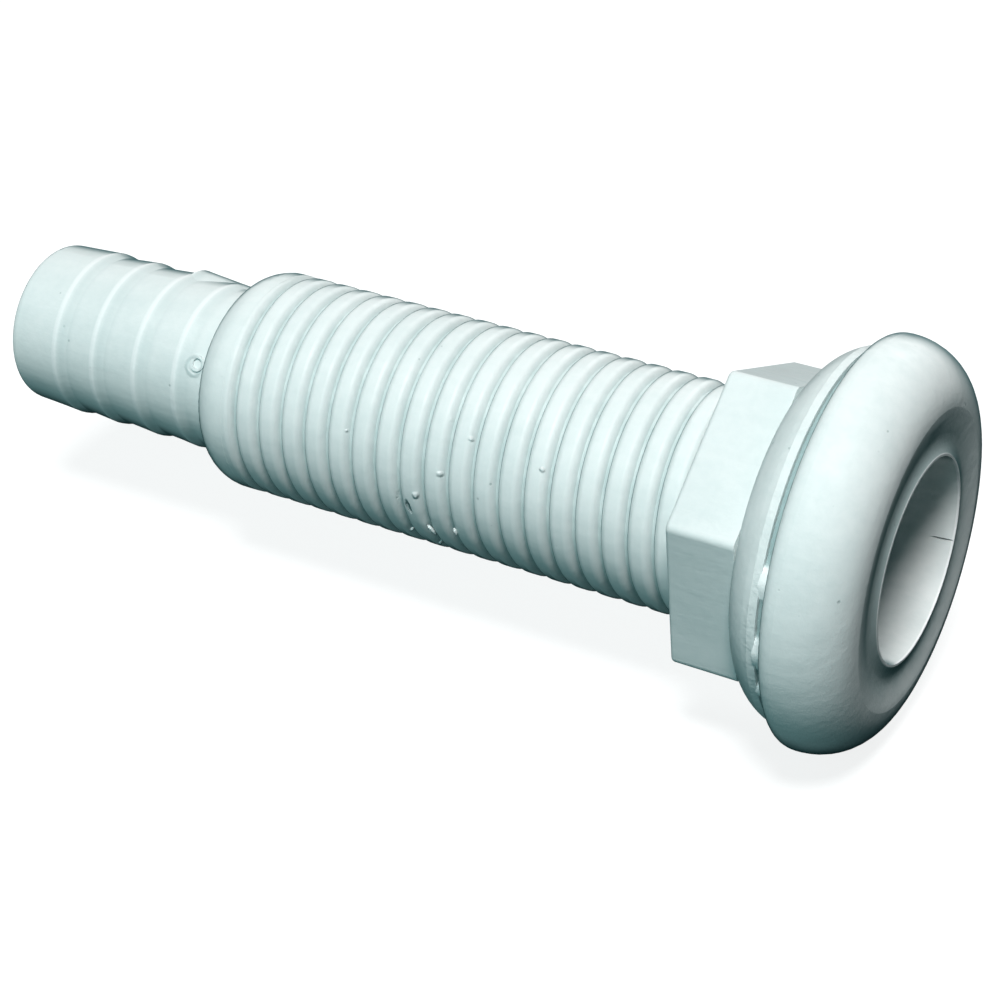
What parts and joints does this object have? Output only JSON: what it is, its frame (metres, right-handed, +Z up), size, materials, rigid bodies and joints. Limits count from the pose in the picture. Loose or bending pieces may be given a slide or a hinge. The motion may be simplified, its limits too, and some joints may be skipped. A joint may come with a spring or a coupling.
{
  "type": "thru hull fitting",
  "caption": "Plastic mushroom-head thru-hull fitting: threaded barrel, barbed hose tail, flanged hex nut and sealing washer, with a water way right through.",
  "frame": {"origin": "on the centre line, in the plane of the head's flat back, where it seats on the hull", "axes": "+X along the centre line, out of the mouth and away from the boat; +Z up"},
  "size_m": [0.1149, 0.0462, 0.0462],
  "materials": {
    "body_plastic": "white moulded, satin",
    "nut_plastic": "white moulded, satin",
    "washer_plastic": "soft white sheet"
  },
  "bodies": {
    "body": {"hull_body": "body_plastic"},
    "washer": {"seal_washer": "washer_plastic"},
    "nut": {"flange_nut": "nut_plastic"}
  },
  "joints": [
    {"name": "washer_slide", "type": "slide", "parent": "body", "child": "washer", "axis": [1, 0, 0], "range_m": [-0.058, 0]},
    {"name": "nut_turn", "type": "hinge", "parent": "washer", "child": "nut", "pos_m": [0, 0, 0], "axis": [1, 0, 0], "range_deg": [-6570, 0]}
  ],
  "couplings": [
    {"joint": "washer_slide", "follows": "nut_turn", "m_per_rad": 0.00050532}
  ]
}
